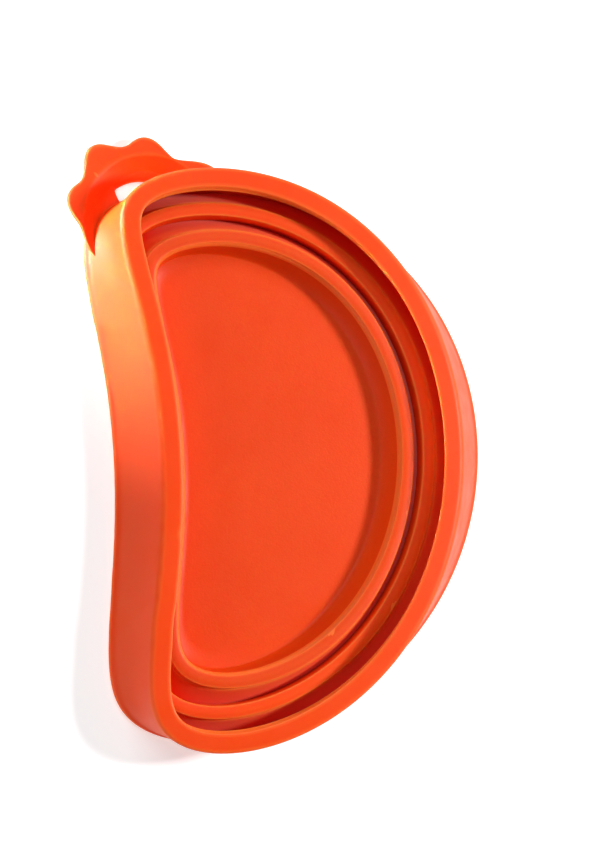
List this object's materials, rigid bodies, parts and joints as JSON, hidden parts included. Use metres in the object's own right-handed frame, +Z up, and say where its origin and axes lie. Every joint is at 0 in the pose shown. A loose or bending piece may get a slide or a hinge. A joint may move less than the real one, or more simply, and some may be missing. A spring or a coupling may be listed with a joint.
{
  "type": "collapsible travel bowl",
  "caption": "Collapsible one-piece silicone travel bowl, folded flat and squeezed out of round, with stepped rings that lift out to open it and a scalloped hanging tab.",
  "frame": {"origin": "on the underside of the foot pad, on the floor, near the middle of the base", "axes": "+Z up, the way the bowl opens; +Y along the squeezed bowl towards the hanging tab; +X towards the bulging flank, away from the thumb dent"},
  "size_m": [0.1062, 0.1574, 0.015],
  "materials": {
    "silicone": "satin moulded silicone, bright orange",
    "silicone_web": "matte moulded silicone, thin hinge web"
  },
  "bodies": {
    "base": {"foot_pad": "silicone", "base_floor": "silicone", "base_ring": "silicone", "inner_web": "silicone_web"},
    "middle": {"middle_ring": "silicone", "outer_web": "silicone_web"},
    "rim": {"rim_hem": "silicone", "rim_wall": "silicone", "rim_lip": "silicone", "hang_tab": "silicone", "tab_collar": "silicone"}
  },
  "joints": [
    {"name": "middle_lift", "type": "slide", "parent": "base", "child": "middle", "axis": [0, 0, 1], "range_m": [0, 0.0132], "deforming": ["inner_web"]},
    {"name": "rim_lift", "type": "slide", "parent": "middle", "child": "rim", "axis": [0, 0, 1], "range_m": [0, 0.014], "deforming": ["outer_web"]}
  ]
}
